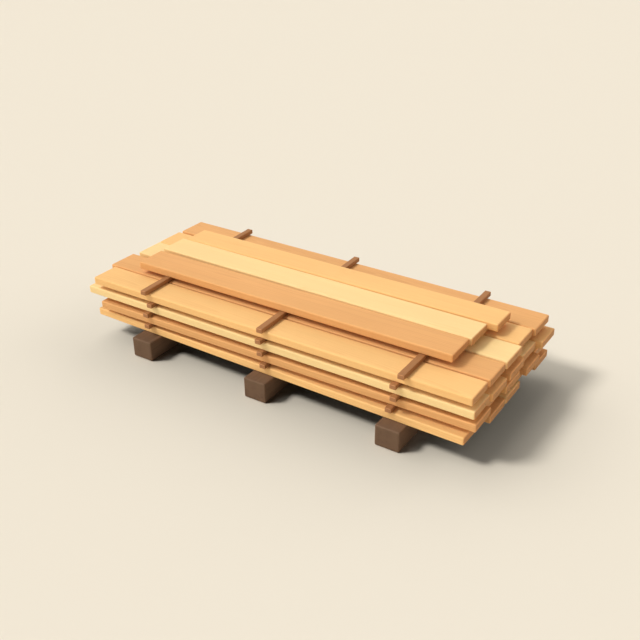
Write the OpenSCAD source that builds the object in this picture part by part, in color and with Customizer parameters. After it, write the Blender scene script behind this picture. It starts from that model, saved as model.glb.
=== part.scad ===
// A stack of sawn boards laid up to air-dry: four full layers of five boards and a short
// part layer on top, every layer held apart by three flat stickers laid across it, and
// the whole stack kept off the ground by three thick timber bearers.
// Millimetres. X runs along the boards, Y across the stack, Z up. The origin is the centre
// of the underside of the middle bearer, on the ground.

/* [Boards] */
// Length of a board in the four full layers, end to end
board_length = 2000; // [1200:10:6000]
// Usual width of a board
board_width = 150; // [75:1:250]
// Thickness of every board
board_thickness = 38; // [15:1:75]
// Usual gap between one board of a layer and the next, for the air
board_gap = 16; // [6:1:60]
// Length of the shorter boards in the top layer
top_board_length = 1680; // [600:10:6000]
// Eased arris along every edge of a board
board_ease = 3; // [0.5:0.5:6]

/* [Stickers] */
// Width of a sticker, which lies flat
sticker_width = 30; // [15:1:80]
// Thickness of a sticker, which is the air gap between two layers
sticker_thickness = 22; // [12:1:50]
// How far a sticker stands out past a full layer, at its front and at its back
sticker_overhang = 24; // [0:1:100]
// Eased arris along every edge of a sticker
sticker_ease = 2.5; // [0.5:0.5:5]

/* [Bearers] */
// Width of a bearer
bearer_width = 115; // [50:1:250]
// Height of a bearer, which is how far the lowest boards are off the ground
bearer_height = 100; // [50:1:200]
// How far a bearer stands out past a full layer, at its front and at its back
bearer_overhang = 73; // [0:1:200]
// Eased arris along every edge of a bearer
bearer_ease = 5; // [1:0.5:12]
// Distance from one bearer to the next, centre to centre
bearer_spacing = 665; // [300:5:1500]

/* [Hidden] */
// Boards in a full layer and full layers in the stack.
layer_boards = 5;
full_layers = 4;
// Pitch of the boards across a layer, and of the layers up the stack.
board_pitch = board_width + board_gap;
layer_pitch = board_thickness + sticker_thickness;
// Width of a full layer, over its outer boards, and what lies across the stack under it.
layer_width = (layer_boards - 1) * board_pitch + board_width;
sticker_length = layer_width + 2 * sticker_overhang;
bearer_length = layer_width + 2 * bearer_overhang;

// How each board of the full layers really lies, one row a layer from the ground up and one
// entry a board from front to back: moved endways, and longer than the stock length.
endways = [
    [-23, 1, 10, -21, 5],
    [17, -17, 6, 15, -10],
    [-26, 12, 12, 0, 26],
    [-8, -23, -14, -23, -13]
];
longer = [
    [-6, 0, -18, -12, 0],
    [-20, -5, -8, 12, 10],
    [53, -5, -5, 0, 1],
    [-6, 30, 22, 6, 14]
];
// How much wider than usual it is, as a share of the gap.
wider = [
    [-0.25, 0.3, 0.1, 0, 0],
    [0.1, -0.1, 0.05, 0, 0],
    [0, -0.05, 0.25, 0, 0],
    [-0.3, 0.4, 0.4, 0.3, 0.55]
];
// How far its left and right ends lie out of line towards the back, as shares of the gap.
// Two boards side by side stay apart at an end while the share of the front one, with half
// of what both are wider, is less than a whole one more than the share of the back one.
out_of_line = [
    [[0.6, -1.05], [0.5, 0.9], [0.2, 0.9], [0, 0.2], [-0.25, -0.05]],
    [[-0.6, 0.7], [-0.2, 0.2], [-0.1, -0.2], [0, 0.45], [-0.1, 0]],
    [[-0.2, 0.25], [-0.7, -0.6], [-0.05, 0.5], [-0.4, 0], [-0.25, -0.45]],
    [[-0.55, -0.05], [-1.05, -0.25], [0.05, -0.35], [-0.4, -0.45], [0.05, -0.9]]
];

// The boards of the top layer, front to back, in the same ways, and where the middle one of
// them lies across the stack.
top_endways = [-11, -10, 22];
top_longer = [-8, 12, 33];
top_wider = [0.6, 0.15, -0.55];
top_out_of_line = [[-0.4, 0.2], [0.5, -0.2], [-0.4, -0.55]];
top_middle = -4;

// How each row of stickers lies, one row a layer from the ground up and one entry a sticker
// from left to right: moved along the boards from its bearer, moved across the stack, and
// turned in degrees.
sticker_along = [
    [-1, 6, -30],
    [-6, -2, -7],
    [32, -11, -7],
    [-12, -9, 24]
];
sticker_across = [
    [1, 4, 2],
    [0, 1, 2],
    [-2, -1, -1],
    [-2, -3, -4]
];
sticker_turned = [
    [-0.3, 0.2, 0.4],
    [0.3, -0.2, 0],
    [-0.4, 0.3, -0.2],
    [1.5, 1.6, 0.4]
];

// Colours of the three tones of board, of the stickers and of the bearers.
light_orange = [0.98, 0.78, 0.50];
orange_brown = [0.93, 0.69, 0.44];
pale_yellow = [0.99, 0.85, 0.60];
sticker_brown = [0.62, 0.43, 0.28];
bearer_brown = [0.42, 0.31, 0.23];

// Height of the underside of a layer, counted from 0, and of the stickers that lie on it.
function layer_z(layer) = bearer_height + layer * layer_pitch;
function sticker_z(layer) = layer_z(layer) + board_thickness;

// Outline of a rectangle centred on the origin, its corners cut back by the ease.
module eased_rectangle(width, height, ease) {
    x = width / 2;
    y = height / 2;
    polygon([
        [ease - x, -y], [x - ease, -y],
        [x, ease - y], [x, y - ease],
        [x - ease, y], [ease - x, y],
        [-x, y - ease], [-x, ease - y]
    ]);
}

// Squared timber with every arris eased, its underside on z = 0 and its centre on the
// Z axis.
module timber(length, width, height, ease) {
    translate([0, 0, height / 2])
        intersection() {
            linear_extrude(height = height, center = true)
                eased_rectangle(length, width, ease);
            rotate([90, 0, 0])
                linear_extrude(height = width, center = true)
                    eased_rectangle(length, height, ease);
            rotate([90, 0, 90])
                linear_extrude(height = length, center = true)
                    eased_rectangle(width, height, ease);
        }
}

// A bearer on the ground, counted -1, 0 or 1 from left to right.
module bearer(place) {
    translate([place * bearer_spacing, 0, 0])
        timber(bearer_width, bearer_length, bearer_height, bearer_ease);
}

// A board lying at the given height and at its own place across the stack, moved endways,
// wider by its share of the gap, and turned until its ends lie out of line by their shares.
module laid_board(length, moved, across, height, wider_share, end_shares) {
    width = board_width + board_gap * wider_share;
    sideways = board_gap * (end_shares[0] + end_shares[1]) / 2;
    turn = atan2(board_gap * (end_shares[1] - end_shares[0]), length);
    translate([moved, across + sideways, height])
        rotate([0, 0, turn])
            timber(length, width, board_thickness, board_ease);
}

// A board of a full layer, both counted from 0.
module layer_board(layer, place) {
    laid_board(board_length + longer[layer][place], endways[layer][place],
        (place - (layer_boards - 1) / 2) * board_pitch, layer_z(layer),
        wider[layer][place], out_of_line[layer][place]);
}

// A sticker lying on a layer, both counted from 0.
module sticker(layer, place) {
    along = (place - 1) * bearer_spacing + sticker_along[layer][place];
    translate([along, sticker_across[layer][place], sticker_z(layer)])
        rotate([0, 0, sticker_turned[layer][place]])
            timber(sticker_width, sticker_length, sticker_thickness, sticker_ease);
}

// A short board of the top layer, counted from 0.
module top_board(place) {
    laid_board(top_board_length + top_longer[place], top_endways[place],
        top_middle + (place - 1) * board_pitch, layer_z(full_layers),
        top_wider[place], top_out_of_line[place]);
}

module bearer_left() {
    color(bearer_brown)
        bearer(-1);
}

module bearer_middle() {
    color(bearer_brown)
        bearer(0);
}

module bearer_right() {
    color(bearer_brown)
        bearer(1);
}

module layer1_board1() {
    color(light_orange)
        layer_board(0, 0);
}

module layer1_board2() {
    color(orange_brown)
        layer_board(0, 1);
}

module layer1_board3() {
    color(pale_yellow)
        layer_board(0, 2);
}

module layer1_board4() {
    color(light_orange)
        layer_board(0, 3);
}

module layer1_board5() {
    color(orange_brown)
        layer_board(0, 4);
}

module layer1_sticker_left() {
    color(sticker_brown)
        sticker(0, 0);
}

module layer1_sticker_middle() {
    color(sticker_brown)
        sticker(0, 1);
}

module layer1_sticker_right() {
    color(sticker_brown)
        sticker(0, 2);
}

module layer2_board1() {
    color(orange_brown)
        layer_board(1, 0);
}

module layer2_board2() {
    color(pale_yellow)
        layer_board(1, 1);
}

module layer2_board3() {
    color(light_orange)
        layer_board(1, 2);
}

module layer2_board4() {
    color(orange_brown)
        layer_board(1, 3);
}

module layer2_board5() {
    color(pale_yellow)
        layer_board(1, 4);
}

module layer2_sticker_left() {
    color(sticker_brown)
        sticker(1, 0);
}

module layer2_sticker_middle() {
    color(sticker_brown)
        sticker(1, 1);
}

module layer2_sticker_right() {
    color(sticker_brown)
        sticker(1, 2);
}

module layer3_board1() {
    color(pale_yellow)
        layer_board(2, 0);
}

module layer3_board2() {
    color(light_orange)
        layer_board(2, 1);
}

module layer3_board3() {
    color(orange_brown)
        layer_board(2, 2);
}

module layer3_board4() {
    color(pale_yellow)
        layer_board(2, 3);
}

module layer3_board5() {
    color(light_orange)
        layer_board(2, 4);
}

module layer3_sticker_left() {
    color(sticker_brown)
        sticker(2, 0);
}

module layer3_sticker_middle() {
    color(sticker_brown)
        sticker(2, 1);
}

module layer3_sticker_right() {
    color(sticker_brown)
        sticker(2, 2);
}

module layer4_board1() {
    color(light_orange)
        layer_board(3, 0);
}

module layer4_board2() {
    color(orange_brown)
        layer_board(3, 1);
}

module layer4_board3() {
    color(pale_yellow)
        layer_board(3, 2);
}

module layer4_board4() {
    color(light_orange)
        layer_board(3, 3);
}

module layer4_board5() {
    color(orange_brown)
        layer_board(3, 4);
}

module layer4_sticker_left() {
    color(sticker_brown)
        sticker(3, 0);
}

module layer4_sticker_middle() {
    color(sticker_brown)
        sticker(3, 1);
}

module layer4_sticker_right() {
    color(sticker_brown)
        sticker(3, 2);
}

module top_board1() {
    color(orange_brown)
        top_board(0);
}

module top_board2() {
    color(pale_yellow)
        top_board(1);
}

module top_board3() {
    color(light_orange)
        top_board(2);
}

bearer_left();
bearer_middle();
bearer_right();
layer1_board1();
layer1_board2();
layer1_board3();
layer1_board4();
layer1_board5();
layer1_sticker_left();
layer1_sticker_middle();
layer1_sticker_right();
layer2_board1();
layer2_board2();
layer2_board3();
layer2_board4();
layer2_board5();
layer2_sticker_left();
layer2_sticker_middle();
layer2_sticker_right();
layer3_board1();
layer3_board2();
layer3_board3();
layer3_board4();
layer3_board5();
layer3_sticker_left();
layer3_sticker_middle();
layer3_sticker_right();
layer4_board1();
layer4_board2();
layer4_board3();
layer4_board4();
layer4_board5();
layer4_sticker_left();
layer4_sticker_middle();
layer4_sticker_right();
top_board1();
top_board2();
top_board3();
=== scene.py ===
"""The looks of a stickered stack of sawn boards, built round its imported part.

Every timber of the part is replaced by a sawn timber of the same size, lying the same way:
its arrises are eased to a round that wanders a little along its length, its faces carry the
long, shallow waves that a saw leaves, and its grain is that of a log with a pith of its own,
so that the lines on a face and the rings on an end belong together.
"""

from __future__ import annotations

import logging
import math
from dataclasses import dataclass
from enum import Enum

import bpy
import numpy as np
from mathutils import Euler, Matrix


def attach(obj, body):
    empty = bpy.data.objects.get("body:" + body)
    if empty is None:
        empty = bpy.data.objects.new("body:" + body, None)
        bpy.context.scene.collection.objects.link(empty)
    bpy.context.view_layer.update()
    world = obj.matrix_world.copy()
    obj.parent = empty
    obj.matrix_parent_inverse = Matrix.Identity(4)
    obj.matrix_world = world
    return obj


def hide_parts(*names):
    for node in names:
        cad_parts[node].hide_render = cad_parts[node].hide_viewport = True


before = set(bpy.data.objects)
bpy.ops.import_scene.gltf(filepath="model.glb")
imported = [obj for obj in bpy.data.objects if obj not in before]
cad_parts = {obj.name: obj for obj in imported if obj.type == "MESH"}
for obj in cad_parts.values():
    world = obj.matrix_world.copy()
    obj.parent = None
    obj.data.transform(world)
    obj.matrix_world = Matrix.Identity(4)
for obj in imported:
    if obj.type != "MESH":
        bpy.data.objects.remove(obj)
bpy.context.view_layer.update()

LOG = logging.getLogger("lumber_stack")
MM = 0.001
BODY = "root"
SEED = 2207

Colour = tuple[float, float, float]


def linear(red: int, green: int, blue: int) -> Colour:
    """Turns a display colour into the linear one that shaders take.

    Args:
        red, green, blue: the display colour, 0 to 255.

    Returns:
        The same colour in linear light, 0 to 1.
    """
    scaled = np.array([red, green, blue]) / 255.0
    low, high = scaled / 12.92, ((scaled + 0.055) / 1.055) ** 2.4
    return tuple(float(v) for v in np.where(scaled <= 0.04045, low, high))


# ---------------------------------------------------------------- finishes


@dataclass(frozen=True)
class WoodFinish:
    """A finish of sawn wood: its colours, and how strongly its grain shows.

    Args:
        name: the material's name.
        slot: the record's material slot that it stands for; not used.
        early, late: colour of the pale early wood and of the dark late wood.
        ring_gap: distance from one growth ring to the next, in metres.
        ring_strength: how far a ring goes towards the late colour, 0 to 1.
        wander: how far the rings stray from a true circle, in metres.
        fibre: how strongly the fine fibre streaks show, 0 to 1.
        stain: how strongly the broad blotches show, 0 to 1.
        wear: how strongly the arrises are painted pale, as worn wood and as a painted highlight, 0
            to 1.
        end: colour that sawn ends go towards.
        end_shade: how far they go there, 0 to 1.
        roughness: lowest and highest roughness.
        relief: depth of the grain's relief, in metres.
        saw_relief: depth of the saw's marks, in metres.
    """

    name: str
    slot: str
    early: Colour
    late: Colour
    ring_gap: float = 4.2 * MM
    ring_strength: float = 0.3
    wander: float = 9 * MM
    fibre: float = 0.28
    stain: float = 0.35
    wear: float = 0.75
    end: Colour = linear(194, 138, 88)
    end_shade: float = 0.92
    roughness: tuple[float, float] = (0.62, 0.8)
    relief: float = 0.12 * MM
    saw_relief: float = 0.10 * MM


class Finish(Enum):
    """The finishes of the stack: three tones of board, the stickers and the bearers."""

    LIGHT_ORANGE = WoodFinish(
        "board_light_orange",
        "light_orange_board",
        early=linear(244, 193, 125),
        late=linear(220, 156, 88),
    )
    ORANGE_BROWN = WoodFinish(
        "board_orange_brown",
        "orange_brown_board",
        early=linear(229, 171, 109),
        late=linear(197, 132, 75),
    )
    PALE_YELLOW = WoodFinish(
        "board_pale_yellow",
        "pale_yellow_board",
        early=linear(247, 212, 149),
        late=linear(228, 184, 112),
    )
    STICKER = WoodFinish(
        "sticker_brown",
        "sticker_timber",
        early=linear(170, 118, 74),
        late=linear(140, 92, 54),
        ring_gap=3.4 * MM,
        wander=4 * MM,
        end=linear(170, 118, 78),
    )
    BEARER = WoodFinish(
        "bearer_brown",
        "bearer_timber",
        early=linear(124, 95, 72),
        late=linear(91, 67, 49),
        ring_gap=6 * MM,
        wander=14 * MM,
        wear=0.35,
        end=linear(109, 84, 64),
        relief=0.25 * MM,
        saw_relief=0.2 * MM,
    )


# ---------------------------------------------------------------- shader graphs


class Graph:
    """A short way to write the nodes of a material or of a node group."""

    def __init__(self, tree: bpy.types.NodeTree) -> None:
        """Keeps the tree that the nodes go into.

        Args:
            tree: the material's or the group's node tree.
        """
        self.tree = tree

    def node(self, kind: str, **settings: object) -> bpy.types.Node:
        """Adds a node and sets its own settings.

        Args:
            kind: the node's type name.
            settings: the node's settings by name.

        Returns:
            The new node.
        """
        made = self.tree.nodes.new(kind)
        for name, value in settings.items():
            setattr(made, name, value)
        return made

    def feed(self, socket: bpy.types.NodeSocket, value: object) -> None:
        """Links a socket into another, or writes a plain value there.

        Args:
            socket: the input that is fed.
            value: an output socket, a number, or a tuple of numbers.
        """
        if isinstance(value, bpy.types.NodeSocket):
            self.tree.links.new(value, socket)
        elif isinstance(value, tuple) and socket.type == "RGBA":
            socket.default_value = (*value, 1.0)
        else:
            socket.default_value = value

    def maths(self, operation: str, *values: object, clamp: bool = False) -> bpy.types.NodeSocket:
        """Adds one step of arithmetic.

        Args:
            operation: the Math node's operation.
            values: its inputs in order, sockets or numbers.
            clamp: whether the result is kept within 0 and 1.

        Returns:
            The result's socket.
        """
        made = self.node("ShaderNodeMath", operation=operation, use_clamp=clamp)
        for socket, value in zip(made.inputs, values):
            self.feed(socket, value)
        return made.outputs[0]

    def vector(self, operation: str, *values: object) -> bpy.types.NodeSocket:
        """Adds one step of vector arithmetic.

        Args:
            operation: the Vector Math node's operation.
            values: its inputs in order, sockets or tuples of numbers.

        Returns:
            The result's socket: a number for LENGTH, otherwise a vector.
        """
        made = self.node("ShaderNodeVectorMath", operation=operation)
        for socket, value in zip(made.inputs, values):
            self.feed(socket, value)
        return made.outputs["Value" if operation == "LENGTH" else "Vector"]

    def noise(
        self,
        place: bpy.types.NodeSocket,
        stretch: tuple[float, float, float],
        detail: float,
        rough: float = 0.5,
    ) -> bpy.types.Node:
        """Adds a noise whose features have their own size along each axis.

        Args:
            place: the position that it reads, in metres.
            stretch: features per metre along, across and up.
            detail: how many finer octaves are added.
            rough: how strong each finer octave is.

        Returns:
            The noise node.
        """
        made = self.node("ShaderNodeTexNoise")
        self.feed(made.inputs["Vector"], self.vector("MULTIPLY", place, stretch))
        for name, value in (("Scale", 1.0), ("Detail", detail), ("Roughness", rough)):
            made.inputs[name].default_value = value
        return made

    def ramp(
        self, value: object, low: float, high: float, to_low: object = 0.0, to_high: object = 1.0
    ) -> bpy.types.NodeSocket:
        """Maps a range smoothly onto another.

        Args:
            value: the number that is mapped.
            low, high: the range that it is mapped from.
            to_low, to_high: the range that it is mapped to.

        Returns:
            The mapped number's socket.
        """
        made = self.node("ShaderNodeMapRange", interpolation_type="SMOOTHSTEP")
        for socket, given in zip(made.inputs, (value, low, high, to_low, to_high)):
            self.feed(socket, given)
        return made.outputs[0]

    def mix(self, share: object, first: object, second: object) -> bpy.types.NodeSocket:
        """Mixes two colours.

        Args:
            share: how much of the second there is, 0 to 1.
            first, second: sockets or colours.

        Returns:
            The mixed colour's socket.
        """
        made = self.node("ShaderNodeMix", data_type="RGBA")
        self.feed(made.inputs[0], share)
        self.feed(made.inputs[6], first)
        self.feed(made.inputs[7], second)
        return made.outputs[2]


class Effect:
    """A shared node group: named inputs and outputs, and the nodes between them.

    A kind of effect gives its name, the inputs that it takes and the outputs that it gives,
    each with the kind of its socket, and fills the group. The noises' sizes are in features
    per metre along the timber, across it and up.
    """

    name = ""
    takes: tuple[tuple[str, str], ...] = ()
    gives: tuple[tuple[str, str], ...] = ()

    def __init__(self) -> None:
        """Makes the group, with its sockets, and fills it."""
        self.group = bpy.data.node_groups.new(self.name, "ShaderNodeTree")
        for way, sockets in (("INPUT", self.takes), ("OUTPUT", self.gives)):
            for label, kind in sockets:
                self.group.interface.new_socket(label, in_out=way, socket_type="NodeSocket" + kind)
        graph = Graph(self.group)
        start, end = graph.node("NodeGroupInput"), graph.node("NodeGroupOutput")
        for label, socket in self.fill(graph, start.outputs).items():
            graph.feed(end.inputs[label], socket)

    def fill(self, graph: Graph, given: bpy.types.bpy_prop_collection) -> dict[str, object]:
        """Makes the nodes of the group.

        Args:
            graph: the group's graph.
            given: the sockets of its inputs, by name.

        Returns:
            What each output is fed from, by name.
        """
        raise NotImplementedError

    def place(self, graph: Graph, **values: object) -> bpy.types.bpy_prop_collection:
        """Places the group in a material.

        Args:
            graph: the material's graph.
            values: its inputs by name, with _ for a space.

        Returns:
            The sockets of its outputs, by name.
        """
        made = graph.node("ShaderNodeGroup", node_tree=self.group, label=self.name)
        for label, value in values.items():
            graph.feed(made.inputs[label.replace("_", " ")], value)
        return made.outputs


class LogGrain(Effect):
    """The grain of a log: rings about its pith, fibre along it, and broad blotches.

    The position is measured from the pith, X along it. A slow noise bends it, its distance
    from the pith is counted in rings, and each ring darkens slowly and ends at once. Fine
    fibres and broad streaks go towards the late colour too, and blotches shade the whole.
    """

    name = "Log Grain"
    takes = (
        ("Position", "Vector"),
        ("Early", "Color"),
        ("Late", "Color"),
        ("Ring Gap", "Float"),
        ("Ring Strength", "Float"),
        ("Wander", "Float"),
        ("Fibre", "Float"),
        ("Stain", "Float"),
    )
    gives = (("Color", "Color"), ("Fibre Mask", "Float"), ("Height", "Float"))

    BEND = (1.1, 5.0, 5.0)
    FIBRE = (7.0, 420.0, 420.0)
    FIBRE_RANGE, FIBRE_SHARE = (0.52, 0.72), 0.55
    STREAK = (2.2, 60.0, 60.0)
    STREAK_RANGE, STREAK_SHARE = (0.48, 0.75), 0.3
    BLOTCH = (1.6, 9.0, 9.0)
    BLOTCH_RANGE, BLOTCH_SHADES = (0.25, 0.75), (1.08, 0.9)
    YEARS_PER_METRE, YEARS_AHEAD = 55.0, 3.0
    RING_CURVE, RING_STOP = 2.2, 0.9
    LATE_HEIGHT = 0.7

    def fill(self, graph: Graph, given: bpy.types.bpy_prop_collection) -> dict[str, object]:
        """Makes the nodes, as Effect.fill says."""
        position = given["Position"]
        bend = graph.noise(position, self.BEND, 2.0).outputs["Color"]
        bend = graph.vector("SUBTRACT", bend, (0.5, 0.5, 0.5))
        bend = graph.vector("MULTIPLY", bend, (0.0, 2.0, 2.0))
        scaled = graph.node("ShaderNodeVectorMath", operation="SCALE")
        graph.feed(scaled.inputs[0], bend)
        graph.feed(scaled.inputs["Scale"], given["Wander"])
        bent = graph.vector("ADD", position, scaled.outputs[0])
        radius = graph.vector("LENGTH", graph.vector("MULTIPLY", bent, (0.0, 1.0, 1.0)))
        # Good years and bad ones: the ring count runs ahead and falls behind.
        years = graph.node("ShaderNodeTexNoise", noise_dimensions="1D")
        graph.feed(years.inputs["W"], graph.maths("MULTIPLY", radius, self.YEARS_PER_METRE))
        years.inputs["Scale"].default_value = 1.0
        years.inputs["Detail"].default_value = 2.0
        count = graph.maths("DIVIDE", radius, given["Ring Gap"])
        ahead = graph.maths("MULTIPLY", years.outputs[0], self.YEARS_AHEAD)
        part = graph.maths("FRACT", graph.maths("ADD", count, ahead))
        slow = graph.maths("POWER", part, self.RING_CURVE)
        stop = graph.ramp(part, self.RING_STOP, 1.0, 1.0, 0.0)
        late = graph.maths("MULTIPLY", slow, stop)
        fibre = graph.noise(position, self.FIBRE, 3.0, 0.6).outputs[0]
        streak = graph.noise(position, self.STREAK, 2.0).outputs[0]
        blotch = graph.noise(position, self.BLOTCH, 3.0).outputs[0]
        colour = graph.mix(
            graph.maths("MULTIPLY", late, given["Ring Strength"]), given["Early"], given["Late"]
        )
        fine = graph.maths("MULTIPLY", graph.ramp(fibre, *self.FIBRE_RANGE), given["Fibre"])
        share = graph.maths("MULTIPLY", fine, self.FIBRE_SHARE)
        colour = graph.mix(share, colour, given["Late"])
        broad = graph.maths("MULTIPLY", graph.ramp(streak, *self.STREAK_RANGE), given["Fibre"])
        share = graph.maths("MULTIPLY", broad, self.STREAK_SHARE)
        colour = graph.mix(share, colour, given["Late"])
        shade = graph.ramp(blotch, *self.BLOTCH_RANGE, *self.BLOTCH_SHADES)
        shaded = graph.node("ShaderNodeVectorMath", operation="SCALE")
        graph.feed(shaded.inputs[0], colour)
        graph.feed(shaded.inputs["Scale"], shade)
        colour = graph.mix(given["Stain"], colour, shaded.outputs[0])
        height = graph.maths("MULTIPLY", late, self.LATE_HEIGHT)
        height = graph.maths("SUBTRACT", height, fine)
        return {"Color": colour, "Fibre Mask": fine, "Height": height}


class SawMarks(Effect):
    """What the saw leaves: faint ridges across the timber, crowding and fading at random.

    The ridges are a sine of the place along the timber, one to each STEP, in metres. They
    LEAN across it, and a slow noise makes them DRIFT.
    """

    name = "Saw Marks"
    takes = (("Position", "Vector"), ("End", "Float"))
    gives = (("Height", "Float"),)

    STEP, LEAN = 4.5 * MM, 0.12
    DRIFT, DRIFT_REACH = (9.0, 4.0, 4.0), 20 * MM
    FADE, FADE_RANGE = (5.0, 14.0, 14.0), (0.35, 0.7)
    FUZZ, FUZZ_HEIGHT = (160.0, 700.0, 700.0), 0.8

    def fill(self, graph: Graph, given: bpy.types.bpy_prop_collection) -> dict[str, object]:
        """Makes the nodes, as Effect.fill says."""
        position = given["Position"]
        drift = graph.noise(position, self.DRIFT, 2.0).outputs[0]
        apart = graph.node("ShaderNodeSeparateXYZ")
        graph.feed(apart.inputs[0], position)
        lean = graph.maths("MULTIPLY", apart.outputs[1], self.LEAN)
        along = graph.maths("ADD", apart.outputs[0], lean)
        along = graph.maths("ADD", along, graph.maths("MULTIPLY", drift, self.DRIFT_REACH))
        turn = graph.maths("MULTIPLY", along, 2.0 * math.pi / self.STEP)
        ridge = graph.maths("SINE", turn)
        fade = graph.ramp(graph.noise(position, self.FADE, 2.0).outputs[0], *self.FADE_RANGE)
        off_end = graph.maths("SUBTRACT", 1.0, given["End"])
        ridge = graph.maths("MULTIPLY", graph.maths("MULTIPLY", ridge, fade), off_end)
        fuzz = graph.noise(position, self.FUZZ, 2.0, 0.6).outputs[0]
        fuzz = graph.maths("MULTIPLY", fuzz, self.FUZZ_HEIGHT)
        return {"Height": graph.maths("ADD", ridge, fuzz)}


class ArrisWear(Effect):
    """Where the arrises are painted pale, as worn wood and as a painted highlight on their round:
    strongest on the arris, broken up by a noise.

    The mask is the nearness to the arris plus a share of the noise, cut to RUBBED_RANGE.
    """

    name = "Arris Wear"
    takes = (("Position", "Vector"), ("Arris", "Float"), ("Amount", "Float"))
    gives = (("Mask", "Float"),)

    BREAKS, BREAKS_SHARE = (14.0, 90.0, 90.0), 0.7
    RUBBED_RANGE = (0.75, 1.45)

    def fill(self, graph: Graph, given: bpy.types.bpy_prop_collection) -> dict[str, object]:
        """Makes the nodes, as Effect.fill says."""
        broken = graph.noise(given["Position"], self.BREAKS, 3.0, 0.6).outputs[0]
        broken = graph.maths("MULTIPLY", broken, self.BREAKS_SHARE)
        reach = graph.maths("ADD", given["Arris"], broken)
        mask = graph.ramp(reach, *self.RUBBED_RANGE)
        return {"Mask": graph.maths("MULTIPLY", mask, given["Amount"], clamp=True)}


class SawnEnd(Effect):
    """A sawn end: end grain of its own colour, with short checks that open from the pith.

    A noise over the angle about the pith, the distance from it and the place along the
    timber is cut where it crosses its middle value, which gives thin lines from the pith
    outwards, and a broad noise leaves only some of them. Each line is painted dark, as painted
    shade inside the check.
    """

    name = "Sawn End"
    takes = (
        ("Color", "Color"),
        ("Position", "Vector"),
        ("End", "Float"),
        ("End Color", "Color"),
        ("Shade", "Float"),
    )
    gives = (("Color", "Color"), ("Check", "Float"))

    ROUND, OUTWARD, ALONG = 14.0, 26.0, 0.6
    # A check is painted dark, as the shade inside it.
    LINE_WIDTH, LINE_SHARE, LINE_COLOUR = 0.012, 0.6, linear(62, 38, 24)
    SOME, SOME_RANGE = (1.0, 30.0, 30.0), (0.5, 0.6)

    def fill(self, graph: Graph, given: bpy.types.bpy_prop_collection) -> dict[str, object]:
        """Makes the nodes, as Effect.fill says."""
        apart = graph.node("ShaderNodeSeparateXYZ")
        graph.feed(apart.inputs[0], given["Position"])
        angle = graph.maths("ARCTAN2", apart.outputs[2], apart.outputs[1])
        flat = graph.vector("MULTIPLY", given["Position"], (0.0, 1.0, 1.0))
        radius = graph.vector("LENGTH", flat)
        polar = graph.node("ShaderNodeCombineXYZ")
        graph.feed(polar.inputs[0], graph.maths("MULTIPLY", angle, self.ROUND))
        graph.feed(polar.inputs[1], graph.maths("MULTIPLY", radius, self.OUTWARD))
        graph.feed(polar.inputs[2], graph.maths("MULTIPLY", apart.outputs[0], self.ALONG))
        ray = graph.node("ShaderNodeTexNoise")
        graph.feed(ray.inputs["Vector"], polar.outputs[0])
        ray.inputs["Scale"].default_value = 1.0
        ray.inputs["Detail"].default_value = 3.0
        near = graph.maths("ABSOLUTE", graph.maths("SUBTRACT", ray.outputs[0], 0.5))
        line = graph.ramp(near, 0.0, self.LINE_WIDTH, 1.0, 0.0)
        some = graph.noise(given["Position"], self.SOME, 1.0).outputs[0]
        line = graph.maths("MULTIPLY", line, graph.ramp(some, *self.SOME_RANGE))
        check = graph.maths("MULTIPLY", line, given["End"])
        shade = graph.maths("MULTIPLY", given["End"], given["Shade"])
        colour = graph.mix(shade, given["Color"], given["End Color"])
        # Painted shade: the checks are darkened, as the shade inside them.
        share = graph.maths("MULTIPLY", check, self.LINE_SHARE)
        colour = graph.mix(share, colour, self.LINE_COLOUR)
        return {"Color": colour, "Check": check}


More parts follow.
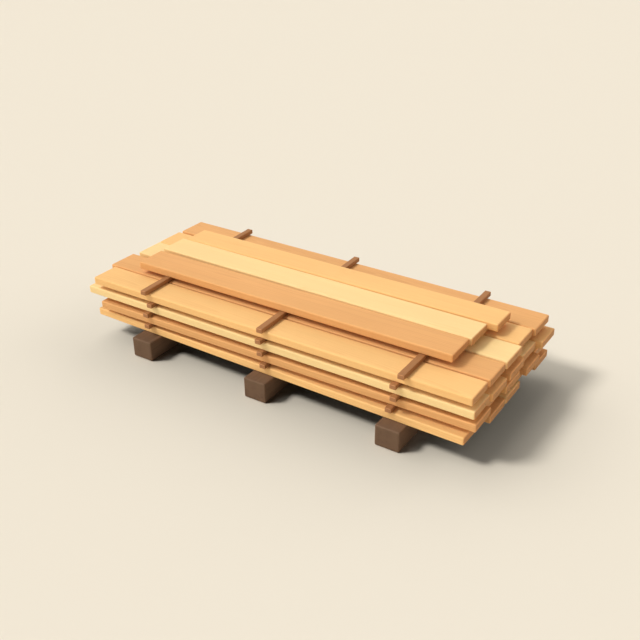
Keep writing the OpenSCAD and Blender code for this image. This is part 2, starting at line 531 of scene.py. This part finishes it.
class Finisher:
    """Makes each finish's material once, from the shared effects.

    An arris is painted pale, as worn wood and as a painted highlight: RUBBED_FACE
    times as light as the early wood on a face, and RUBBED_END times as light as the end
    colour on an end, where the pale rim is a painted highlight. A fibre mask of ROUGH_FROM is
    wholly rough, and a check is CHECK_DEPTH times as deep as the grain's relief. The wood's
    sides pass on their full colour as far as NEARBY's first distance, in metres, and next to
    none of it past the second; UPRIGHT is how far up a normal points where a side ends and a
    top begins.
    """

    # How pale an arris is painted, as worn wood and as a painted highlight, on a face and on an
    # end.
    RUBBED_FACE, RUBBED_END = 1.12, 1.8
    ROUGH_FROM, CHECK_DEPTH, SPECULAR = 0.6, 3.0, 0.12
    NEARBY, UPRIGHT = (60 * MM, 100 * MM), (0.3, 0.7)
    DULL_SATURATION, DULL_VALUE = 0.3, 0.05

    def __init__(self) -> None:
        """Builds the shared effects."""
        self.grain, self.saw = LogGrain(), SawMarks()
        self.wear, self.end = ArrisWear(), SawnEnd()
        self.made: dict[Finish, bpy.types.Material] = {}

    def material(self, finish: Finish) -> bpy.types.Material:
        """Gives a finish's material, made the first time it is asked for.

        Args:
            finish: the finish.

        Returns:
            The material.
        """
        if finish not in self.made:
            self.made[finish] = self._make(finish.value)
        return self.made[finish]

    def _make(self, wood: WoodFinish) -> bpy.types.Material:
        """Makes the material of a wood finish.

        Args:
            wood: the finish's colours and strengths.

        Returns:
            The new material.
        """
        material = bpy.data.materials.new(wood.name)
        material.use_nodes = True
        graph = Graph(material.node_tree)
        shader = material.node_tree.nodes["Principled BSDF"]
        place, arris, end, tone = (
            graph.node("ShaderNodeAttribute", attribute_name=name)
            for name in ("log_place", "arris", "sawn_end", "tone")
        )
        position = place.outputs["Vector"]
        grain = self.grain.place(
            graph,
            Position=position,
            Early=wood.early,
            Late=wood.late,
            Ring_Gap=wood.ring_gap,
            Ring_Strength=wood.ring_strength,
            Wander=wood.wander,
            Fibre=wood.fibre,
            Stain=wood.stain,
        )
        saw = self.saw.place(graph, Position=position, End=end.outputs["Fac"])
        # The arrises' mask: worn wood and painted highlight.
        rubbed = self.wear.place(
            graph, Position=position, Arris=arris.outputs["Fac"], Amount=wood.wear
        )
        tinted = graph.node("ShaderNodeVectorMath", operation="SCALE")
        graph.feed(tinted.inputs[0], grain["Color"])
        graph.feed(tinted.inputs["Scale"], tone.outputs["Fac"])
        ends = self.end.place(
            graph,
            Color=tinted.outputs[0],
            Position=position,
            End=end.outputs["Fac"],
            End_Color=wood.end,
            Shade=wood.end_shade,
        )
        # Painted highlight, with worn wood on a face: the arrises are painted paler than the early
        # wood on a face and than the end colour on an end.
        pale, pale_end = (
            tuple(min(1.0, share * v) for v in colour)
            for share, colour in ((self.RUBBED_FACE, wood.early), (self.RUBBED_END, wood.end))
        )
        bare = graph.mix(end.outputs["Fac"], pale, pale_end)
        colour = graph.mix(rubbed["Mask"], ends["Color"], bare)
        graph.feed(shader.inputs["Base Color"], self._passed_on(graph, colour))
        rough = graph.ramp(grain["Fibre Mask"], 0.0, self.ROUGH_FROM, *wood.roughness)
        graph.feed(shader.inputs["Roughness"], rough)
        shader.inputs["Specular IOR Level"].default_value = self.SPECULAR
        marks = graph.node("ShaderNodeBump")
        marks.inputs["Distance"].default_value = wood.saw_relief
        graph.feed(marks.inputs["Height"], saw["Height"])
        relief = graph.node("ShaderNodeBump")
        relief.inputs["Distance"].default_value = wood.relief
        deep = graph.maths("MULTIPLY", ends["Check"], self.CHECK_DEPTH)
        graph.feed(relief.inputs["Height"], graph.maths("SUBTRACT", grain["Height"], deep))
        graph.feed(relief.inputs["Normal"], marks.outputs[0])
        graph.feed(shader.inputs["Normal"], relief.outputs[0])
        return material

    def _passed_on(self, graph: Graph, colour: bpy.types.NodeSocket) -> bpy.types.NodeSocket:
        """Dulls the light that the wood's sides pass on to things further off.

        A face that looks up passes on its full colour at any distance.

        Args:
            graph: the material's graph.
            colour: the colour that the wood shows.

        Returns:
            The colour's socket, dull for light that goes on a long way.
        """
        rays = graph.node("ShaderNodeLightPath")
        far = graph.ramp(rays.outputs["Ray Length"], *self.NEARBY)
        apart = graph.node("ShaderNodeSeparateXYZ")
        graph.feed(apart.inputs[0], graph.node("ShaderNodeNewGeometry").outputs["Normal"])
        aside = graph.ramp(apart.outputs[2], *self.UPRIGHT, 1.0, 0.0)
        share = graph.maths("MULTIPLY", far, rays.outputs["Is Diffuse Ray"])
        share = graph.maths("MULTIPLY", share, aside)
        dull = graph.node("ShaderNodeHueSaturation")
        dull.inputs["Saturation"].default_value = self.DULL_SATURATION
        dull.inputs["Value"].default_value = self.DULL_VALUE
        graph.feed(dull.inputs["Color"], colour)
        return graph.mix(share, colour, dull.outputs[0])


# ---------------------------------------------------------------- timbers


@dataclass(frozen=True)
class Lie:
    """How a timber of the part lies: the middle of its box, its own axes, and its half sizes.

    Args:
        middle: the middle of the timber, in metres.
        axes: its own axes as rows: along it, across it, and up.
        half: its half sizes along those axes.
    """

    middle: np.ndarray
    axes: np.ndarray
    half: np.ndarray

    @classmethod
    def of(cls, node: str) -> Lie:
        """Reads it from the part's own solid.

        The long axis is the direction in which the solid's corners are most spread out, seen
        from above, and the box is the smallest one on that axis.

        Args:
            node: the part's node.

        Returns:
            How the node's solid lies.
        """
        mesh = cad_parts[node].data
        corners = np.empty(len(mesh.vertices) * 3, np.float32)
        mesh.vertices.foreach_get("co", corners)
        corners = np.unique(np.round(corners.reshape(-1, 3).astype(float), 6), axis=0)
        flat = corners[:, :2] - (corners[:, :2].max(0) + corners[:, :2].min(0)) / 2
        along = np.linalg.svd(flat, full_matrices=False)[2][0]
        along = along * np.sign(along[np.argmax(np.abs(along))])
        axes = np.array([[along[0], along[1], 0.0], [-along[1], along[0], 0.0], [0.0, 0.0, 1.0]])
        own = corners @ axes.T
        low, high = own.min(0), own.max(0)
        return cls(((low + high) / 2) @ axes, axes, (high - low) / 2)


@dataclass(frozen=True)
class Sawing:
    """How a kind of timber is sawn.

    Args:
        ease: radius of its eased arrises, in metres.
        wander: how much of that radius comes and goes along the arris.
        wave: depth of the long waves in its faces, in metres.
        columns: how many steps it has along, across and up, away from its arrises.
        pith: how far the pith lies from the middle of the timber, least and most, in metres.
    """

    ease: float
    wander: float
    wave: float
    columns: tuple[int, int, int]
    pith: tuple[float, float]


@dataclass
class SawnTimber:
    """One squared timber: a box with rounded arrises, dressed in a wood finish.

    BEFORE_ARRIS is how many radii short of the arris the even columns stop, and points
    nearer than MERGE are one. EASE_WAVE and FACE_WAVE are the shortest wave, in metres, and
    the number of waves in its arrises and its faces, and CROSS_WAVE is how fast they turn
    across it, in radians per metre. ARRIS_REACH is how many radii the arris's worn and
    painted-highlight rim reaches, and END_REACH how far round the arris an end's colour comes.
    LOG_PLACES is how far along its log the timber may come from, in metres, and LOG_SLOPE how
    far it leans from the pith.

    Args:
        node: the part's node that it stands for.
        sawing: how it is sawn.
        finish: its finish.
        tone: how much lighter than the finish this timber is.
    """

    ROUND_ANGLES = np.radians(np.linspace(0.0, 45.0, 5))
    BEFORE_ARRIS, MERGE = 1.5, 0.01 * MM
    EASE_WAVE, FACE_WAVE, CROSS_WAVE = (0.35, 5), (0.6, 6), 14.0
    ARRIS_REACH, END_REACH = 1.2, 1.6
    LOG_PLACES, LOG_SLOPE = 40.0, 0.02

    node: str
    sawing: Sawing
    finish: Finish
    tone: float = 1.0

    def __post_init__(self) -> None:
        """Reads how the timber lies, and starts its own run of chance from its name."""
        self.lie = Lie.of(self.node)
        self.chance = np.random.default_rng([SEED, *self.node.encode()])

    def _stations(self, half: float, steps: int) -> np.ndarray:
        """Works out where the columns of a face stand along one axis.

        Even steps between the arrises, one column just before each arris, and then columns
        at the tangents of even angles, so that they are evenly spread over the round.

        Args:
            half: half the timber's size along the axis.
            steps: how many even steps there are.

        Returns:
            The places of the columns, from -half to half.
        """
        ease = self.sawing.ease
        inner = half - self.BEFORE_ARRIS * ease
        even = np.linspace(-inner, inner, steps + 1)
        round_over = half - ease + ease * np.tan(self.ROUND_ANGLES)
        return np.concatenate([-round_over[::-1], even, round_over])

    def _grid(self) -> tuple[np.ndarray, np.ndarray]:
        """Lays a grid on each of the six faces of the sharp box and joins them at the arrises.

        A face is the plane at plus or minus the half size on one axis, and its two parameters
        run along the other two. Points that fall together are made one.

        Returns:
            The points, and the quads as rows of four, wound to face outwards.
        """
        half = self.lie.half
        rows = [self._stations(half[k], self.sawing.columns[k]) for k in range(3)]
        points, quads, count = [], [], 0
        for k in range(3):
            i, j = (k + 1) % 3, (k + 2) % 3
            first, second = np.meshgrid(rows[i], rows[j], indexing="ij")
            index = np.arange(first.size).reshape(first.shape)
            quad = np.stack(
                [index[:-1, :-1], index[1:, :-1], index[1:, 1:], index[:-1, 1:]], axis=-1
            ).reshape(-1, 4)
            for side in (-1.0, 1.0):
                face = np.empty((first.size, 3))
                face[:, i], face[:, j], face[:, k] = first.ravel(), second.ravel(), side * half[k]
                points.append(face)
                quads.append((quad if side > 0 else quad[:, ::-1]) + count)
                count += first.size
        every = np.concatenate(points)
        rounded = np.round(every / self.MERGE).astype(np.int64)
        _, kept, joined = np.unique(rounded, axis=0, return_index=True, return_inverse=True)
        return every[kept], joined.ravel()[np.concatenate(quads)]

    def _waves(self, points: np.ndarray, length: float, terms: int) -> np.ndarray:
        """Makes a smooth random field that lies within -1 and 1.

        It is the mean of plane waves whose directions, lengths and phases are drawn from
        this timber's own run of chance.

        Args:
            points: where it is worked out.
            length: the shortest wave's length along the timber, in metres.
            terms: how many waves are summed.

        Returns:
            The field's value at each point.
        """
        along = self.chance.uniform(0.3, 1.0, terms) * 2 * np.pi / length
        across = self.chance.uniform(-1.0, 1.0, (2, terms)) * self.CROSS_WAVE
        phase = self.chance.uniform(0, 2 * np.pi, terms)
        turn = points[:, :1] * along + points[:, 1:2] * across[0] + points[:, 2:] * across[1]
        return np.sin(turn + phase).sum(1) / terms

    def surface(self) -> tuple[np.ndarray, np.ndarray, dict[str, np.ndarray]]:
        """Works out the timber's surface in its own frame.

        Each point of the sharp box is drawn back to the box that is smaller by the radius of
        the ease, and pushed out again by that radius along the way it came, which rounds
        every arris and corner. The radius comes and goes with a slow wave, and every face
        dips inwards by another, so that the surface never leaves the sharp box.

        Returns:
            The points, the quads, and what is known at each point: its place in the log, how
            near it is to an arris, how squarely it faces endways, and the timber's tone.
        """
        sharp, quads = self._grid()
        half, sawing = self.lie.half, self.sawing
        comes_and_goes = sawing.wander * self._waves(sharp, *self.EASE_WAVE)
        radius = sawing.ease * (1 + comes_and_goes)[:, None]
        inner = np.clip(sharp, radius - half, half - radius)
        away = sharp - inner
        normal = away / np.linalg.norm(away, axis=1, keepdims=True)
        dip = sawing.wave * (1 + self._waves(sharp, *self.FACE_WAVE))[:, None] / 2
        points = inner + normal * (radius - dip)
        reach = np.sort(half - np.abs(sharp), axis=1)[:, 1]
        angle = self.chance.uniform(0, 2 * np.pi)
        far = self.chance.uniform(*sawing.pith)
        start = self.chance.uniform(-self.LOG_PLACES, self.LOG_PLACES)
        pith = np.array([start, far * np.cos(angle), far * np.sin(angle)])
        slope = self.chance.uniform(-self.LOG_SLOPE, self.LOG_SLOPE, 2)
        log_place = points + pith
        log_place[:, 1:] += points[:, :1] * slope
        known = {
            "log_place": log_place,
            "arris": np.exp(-((reach / (self.ARRIS_REACH * sawing.ease)) ** 2)),
            "sawn_end": np.clip(self.END_REACH * normal[:, 0] ** 2, 0, 1),
            "tone": np.full(len(points), self.tone),
        }
        return points, quads, known

    def build(self, finisher: Finisher) -> bpy.types.Object:
        """Makes the timber where the part's own lies, and puts it in that one's place.

        Args:
            finisher: makes the finish's material.

        Returns:
            The new piece.
        """
        points, quads, known = self.surface()
        placed = self.lie.middle + points @ self.lie.axes
        mesh = bpy.data.meshes.new("sawn_" + self.node)
        mesh.from_pydata(placed, [], quads)
        for name, values in known.items():
            many = values.ndim > 1
            made = mesh.attributes.new(name, "FLOAT_VECTOR" if many else "FLOAT", "POINT")
            made.data.foreach_set("vector" if many else "value", values.astype(np.float32).ravel())
        mesh.polygons.foreach_set("use_smooth", np.ones(len(quads), bool))
        mesh.materials.append(finisher.material(self.finish))
        mesh.update()
        piece = bpy.data.objects.new(mesh.name, mesh)
        bpy.context.scene.collection.objects.link(piece)
        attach(piece, BODY)
        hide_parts(self.node)
        LOG.info("%s: %d points, %d quads", piece.name, len(points), len(quads))
        return piece


# ---------------------------------------------------------------- sub-assemblies


@dataclass
class Bearers:
    """The three thick bearers that keep the stack off the ground.

    Args:
        places: what each bearer is called.
        sawing: how they are sawn.
        tones: how light each one is.
    """

    places: tuple[str, ...] = ("left", "middle", "right")
    sawing: Sawing = Sawing(7 * MM, 0.25, 0.6 * MM, (48, 6, 6), (0.0, 0.05))
    tones: tuple[float, ...] = (0.97, 1.03, 1.0)

    def build(self, finisher: Finisher) -> list[bpy.types.Object]:
        """Builds the bearers from left to right, as SawnTimber.build says."""
        return [
            SawnTimber(f"bearer_{place}", self.sawing, Finish.BEARER, tone).build(finisher)
            for place, tone in zip(self.places, self.tones)
        ]


@dataclass
class StickerRow:
    """The three stickers that lie across one layer.

    Args:
        layer: the layer that they lie on, counted from 1.
        places: what each sticker is called.
        sawing: how they are sawn.
        spread: how much lighter or darker than the finish one may be.
    """

    layer: int
    places: tuple[str, ...] = ("left", "middle", "right")
    sawing: Sawing = Sawing(3.5 * MM, 0.25, 0.25 * MM, (44, 2, 2), (0.03, 0.12))
    spread: float = 0.06

    def build(self, finisher: Finisher) -> list[bpy.types.Object]:
        """Builds the stickers from left to right, as SawnTimber.build says."""
        chance = np.random.default_rng([SEED, self.layer])
        tones = chance.uniform(1 - self.spread, 1 + self.spread, len(self.places))
        return [
            SawnTimber(
                f"layer{self.layer}_sticker_{place}", self.sawing, Finish.STICKER, float(tone)
            ).build(finisher)
            for place, tone in zip(self.places, tones)
        ]


@dataclass
class BoardLayer:
    """A layer of boards side by side.

    Args:
        name: what its boards are called before their number.
        finishes: the finish of each board, from front to back.
        sawing: how they are sawn.
        spread: how much lighter or darker than the finish one may be.
    """

    name: str
    finishes: tuple[Finish, ...]
    sawing: Sawing = Sawing(6.5 * MM, 0.2, 0.5 * MM, (90, 8, 2), (0.02, 0.14))
    spread: float = 0.02

    def build(self, finisher: Finisher) -> list[bpy.types.Object]:
        """Builds the boards from front to back, as SawnTimber.build says."""
        chance = np.random.default_rng([SEED, *self.name.encode()])
        tones = 1 + chance.uniform(-self.spread, self.spread, len(self.finishes))
        return [
            SawnTimber(f"{self.name}_board{k}", self.sawing, finish, float(tone)).build(finisher)
            for k, (finish, tone) in enumerate(zip(self.finishes, tones), 1)
        ]


# ---------------------------------------------------------------- studio


@dataclass(frozen=True)
class Lamp:
    """A lamp so far off that its light comes from one side all over the stack.

    Args:
        name: the lamp's name.
        azimuth: where its light comes from in plan, in degrees from +X towards +Y.
        elevation: how high it comes from, in degrees.
        strength: how strong it is.
        width: how wide it is in degrees, which makes its shadows soft.
        tint: its colour.
    """

    name: str
    azimuth: float
    elevation: float
    strength: float
    width: float = 60.0
    tint: Colour = (1.0, 1.0, 1.0)

    def build(self, lit: bpy.types.Collection) -> None:
        """Makes the lamp and turns it.

        Args:
            lit: the objects that it lights.
        """
        data = bpy.data.lights.new(self.name, "SUN")
        data.energy = self.strength
        data.color = self.tint
        data.angle = math.radians(self.width)
        lamp = bpy.data.objects.new(self.name, data)
        lamp.rotation_euler = Euler(
            (0.0, math.radians(90 - self.elevation), math.radians(self.azimuth))
        )
        lamp.light_linking.receiver_collection = lit
        bpy.context.scene.collection.objects.link(lamp)


@dataclass(frozen=True)
class Studio:
    """A plain pale floor under soft light, and the camera.

    Args:
        floor_colour: the floor's colour.
        floor_side: the floor's side, in metres.
        backdrop: the colour round the floor, the same as the lit floor's.
        stack_lamps: the lamps that light the stack: the key light, and wide ones round it.
        floor_lamps: the lamps that light the floor.
        camera_at: the camera's place, in metres.
        camera_azimuth, camera_elevation: which way round it stands and how far it looks
            down, in degrees.
        camera_roll: how far it is turned about its upright axis before that, in degrees.
        lens: its focal length in millimetres, on a sensor 36 mm wide.
    """

    floor_colour: Colour = linear(229, 219, 201)
    floor_side: float = 60.0
    backdrop: Colour = linear(243, 233, 214)
    stack_lamps: tuple[Lamp, ...] = (
        Lamp("key", -142.0, 50.0, 1.60, 12.0),
        Lamp("fill_front_left", -135.0, 25.0, 1.16),
        Lamp("fill_front", -90.0, 25.0, 0.62),
        Lamp("fill_front_right", -45.0, 25.0, 0.13),
        Lamp("fill_right_low", 0.0, 5.0, 0.40, 30.0),
        Lamp("fill_back_right", 45.0, 25.0, 0.84, tint=(1.0, 0.88, 0.8)),
        Lamp("fill_back", 90.0, 25.0, 0.28),
        Lamp("fill_back_left", 135.0, 25.0, 0.56),
        Lamp("fill_high", 135.0, 60.0, 0.99),
    )
    floor_lamps: tuple[Lamp, ...] = (
        Lamp("floor_key", -142.0, 48.0, 1.96, 14.0),
        Lamp("floor_left_high", 180.0, 55.0, 1.27),
        Lamp("floor_left", 180.0, 12.0, 0.50),
        Lamp("floor_front_left", -135.0, 12.0, 0.28),
        Lamp("floor_right", 45.0, 12.0, 0.80),
        Lamp("floor_back_right", 45.0, 30.0, 0.24),
        Lamp("floor_back", 90.0, 30.0, 0.63),
        Lamp("floor_back_left", 135.0, 30.0, 0.56),
    )
    camera_at: tuple[float, float, float] = (2.0376, -3.0665, 2.1906)
    camera_azimuth: float = 32.974
    camera_elevation: float = 28.608
    camera_roll: float = 0.328
    lens: float = 49.91

    def build_floor(self) -> bpy.types.Object:
        """Makes the floor, one large square at the height of the ground, and gives it back."""
        half = self.floor_side / 2
        corners = [(-half, -half, 0.0), (half, -half, 0.0), (half, half, 0.0), (-half, half, 0.0)]
        mesh = bpy.data.meshes.new("floor")
        mesh.from_pydata(corners, [], [(0, 1, 2, 3)])
        material = bpy.data.materials.new("floor")
        material.use_nodes = True
        shader = material.node_tree.nodes["Principled BSDF"]
        shader.inputs["Base Color"].default_value = (*self.floor_colour, 1.0)
        shader.inputs["Roughness"].default_value = 1.0
        shader.inputs["Specular IOR Level"].default_value = 0.0
        mesh.materials.append(material)
        floor = bpy.data.objects.new("floor", mesh)
        bpy.context.scene.collection.objects.link(floor)
        return floor

    def build_lights(self, stack: list[bpy.types.Object], floor: bpy.types.Object) -> None:
        """Makes the lamps, and round them a backdrop that is seen but gives no light.

        Args:
            stack: the pieces of the stack.
            floor: the floor.
        """
        for name, things, lamps in (
            ("lit_stack", stack, self.stack_lamps),
            ("lit_floor", [floor], self.floor_lamps),
        ):
            lit = bpy.data.collections.new(name)
            for thing in things:
                lit.objects.link(thing)
            for lamp in lamps:
                lamp.build(lit)
        world = bpy.data.worlds.new("studio")
        world.use_nodes = True
        graph = Graph(world.node_tree)
        background = world.node_tree.nodes["Background"]
        background.inputs["Color"].default_value = (*self.backdrop, 1.0)
        rays = graph.node("ShaderNodeLightPath")
        graph.feed(background.inputs["Strength"], rays.outputs["Is Camera Ray"])
        bpy.context.scene.world = world
        bpy.context.scene.view_settings.view_transform = "Standard"

    def build_camera(self) -> None:
        """Makes the camera and hands it to the scene."""
        data = bpy.data.cameras.new("camera")
        data.lens = self.lens
        camera = bpy.data.objects.new("camera", data)
        camera.location = self.camera_at
        camera.rotation_euler = Euler(
            (
                math.radians(90 - self.camera_elevation),
                math.radians(self.camera_roll),
                math.radians(self.camera_azimuth),
            )
        )
        bpy.context.scene.collection.objects.link(camera)
        bpy.context.scene.camera = camera


def main() -> None:
    """Builds the studio and the stack from the ground up, and reports each piece."""
    logging.basicConfig(level=logging.INFO, format="%(message)s")
    studio = Studio()
    floor = studio.build_floor()
    studio.build_camera()
    light, brown, pale = Finish.LIGHT_ORANGE, Finish.ORANGE_BROWN, Finish.PALE_YELLOW
    finisher = Finisher()
    assemblies = [
        Bearers(),
        BoardLayer("layer1", (light, brown, pale, light, brown)),
        StickerRow(1),
        BoardLayer("layer2", (brown, pale, light, brown, pale)),
        StickerRow(2),
        BoardLayer("layer3", (pale, light, brown, pale, light)),
        StickerRow(3),
        BoardLayer("layer4", (light, brown, pale, light, brown)),
        StickerRow(4),
        BoardLayer("top", (brown, pale, light)),
    ]
    pieces = [piece for assembly in assemblies for piece in assembly.build(finisher)]
    studio.build_lights(pieces, floor)
    LOG.info("%d pieces", len(pieces))


if __name__ == "__main__":
    main()
